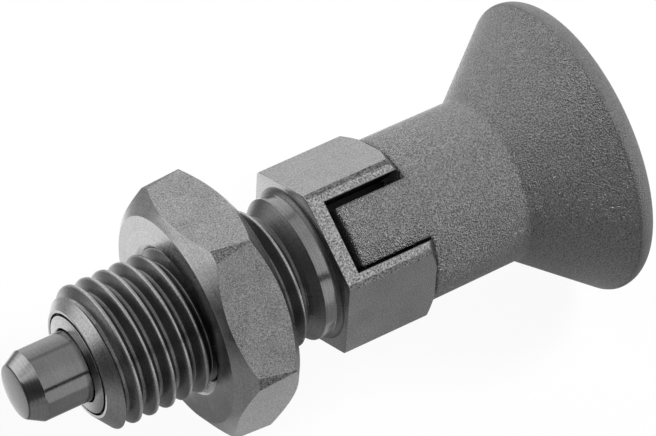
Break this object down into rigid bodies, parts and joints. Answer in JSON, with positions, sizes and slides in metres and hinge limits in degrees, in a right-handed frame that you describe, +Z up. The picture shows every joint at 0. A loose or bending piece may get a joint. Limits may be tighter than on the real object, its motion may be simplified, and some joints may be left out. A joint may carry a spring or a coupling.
{
  "type": "indexing plunger",
  "caption": "Spring-loaded indexing plunger: threaded sleeve with hexagon and locking slot, locking pin, pull knob with tongue, and lock nut.",
  "frame": {"origin": "on the plunger's axis, in the plane of the hexagon's front face", "axes": "+X along the axis from the locking pin's point to the knob, +Z up, with two corners of the hexagon straight up and down"},
  "size_m": [0.0521, 0.025, 0.025],
  "materials": {
    "blackened_steel": "machined steel, blackened",
    "ground_steel": "ground steel, blackened",
    "spring_steel": "drawn spring wire",
    "knob_plastic": "matte moulded plastic with a fine grain"
  },
  "bodies": {
    "guide": {"guide_sleeve": "blackened_steel", "pressure_spring": "spring_steel"},
    "pin": {"locking_pin": "ground_steel"},
    "knob": {"pull_knob": "knob_plastic"},
    "nut": {"lock_nut": "blackened_steel"}
  },
  "joints": [
    {"name": "pull", "type": "slide", "parent": "guide", "child": "pin", "axis": [1, 0, 0], "range_m": [0, 0.0065], "stiffness_N_per_m": 1360, "springref_m": -0.0044, "deforming": ["pressure_spring"]},
    {"name": "knob_turn", "type": "hinge", "parent": "pin", "child": "knob", "pos_m": [0, 0, 0], "axis": [1, 0, 0], "range_deg": [-6.6, 2]},
    {"name": "lock_nut_turn", "type": "hinge", "parent": "guide", "child": "nut", "pos_m": [-0.00858, 0, 0], "axis": [1, 0, 0], "continuous": true}
  ]
}
